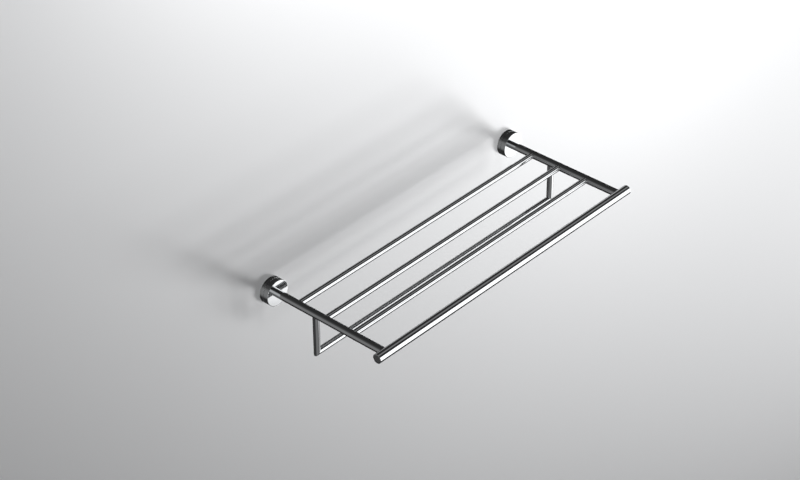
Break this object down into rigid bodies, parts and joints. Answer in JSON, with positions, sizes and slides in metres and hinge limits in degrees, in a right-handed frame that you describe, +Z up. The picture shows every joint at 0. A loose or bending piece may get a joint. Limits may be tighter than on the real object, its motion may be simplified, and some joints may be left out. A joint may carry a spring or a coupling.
{
  "type": "towel rack",
  "caption": "Wall-mounted chrome towel shelf of round bars between two arms on round rosettes, with a towel rail slung below.",
  "frame": {"origin": "on the wall plane, halfway between the centres of the two wall flanges", "axes": "+X along the wall to the right as seen from the room, +Y into the wall, +Z up"},
  "size_m": [0.68, 0.315, 0.1115],
  "materials": {
    "chrome_bars": "mirror-polished chrome plate on tube",
    "chrome_rosettes": "mirror-polished chrome plate on turned discs",
    "zinc_steel": "bright zinc-plated screws and studs",
    "brass": "turned brass, unplated",
    "nylon": "grey moulded nylon"
  },
  "bodies": {
    "root": {"arm_front_insert_left": "brass", "arm_front_insert_right": "brass", "arm_left": "chrome_bars", "arm_rear_insert_left": "brass", "arm_rear_insert_right": "brass", "arm_right": "chrome_bars", "bar_spigot_1_left": "brass", "bar_spigot_1_right": "brass", "bar_spigot_2_left": "brass", "bar_spigot_2_right": "brass", "bar_spigot_3_left": "brass", "bar_spigot_3_right": "brass", "corner_insert_left": "brass", "corner_insert_right": "brass", "end_cap_left": "chrome_bars", "end_cap_right": "chrome_bars", "front_bar": "chrome_bars", "front_bar_anchor_left": "brass", "front_bar_anchor_right": "brass", "front_stud_left": "zinc_steel", "front_stud_right": "zinc_steel", "grub_screw_left": "zinc_steel", "grub_screw_right": "zinc_steel", "post_spigot_left": "brass", "post_spigot_right": "brass", "rosette_cover_left": "chrome_rosettes", "rosette_cover_right": "chrome_rosettes", "rosette_screw_left": "zinc_steel", "rosette_screw_right": "zinc_steel", "shelf_bar_1": "chrome_bars", "shelf_bar_2": "chrome_bars", "shelf_bar_3": "chrome_bars", "towel_post_left": "chrome_bars", "towel_post_right": "chrome_bars", "towel_rail": "chrome_bars", "wall_flange_left": "chrome_rosettes", "wall_flange_right": "chrome_rosettes", "wall_plug_lower_left": "nylon", "wall_plug_lower_right": "nylon", "wall_plug_upper_left": "nylon", "wall_plug_upper_right": "nylon", "wall_screw_lower_left": "zinc_steel", "wall_screw_lower_right": "zinc_steel", "wall_screw_upper_left": "zinc_steel", "wall_screw_upper_right": "zinc_steel"}
  },
  "joints": []
}
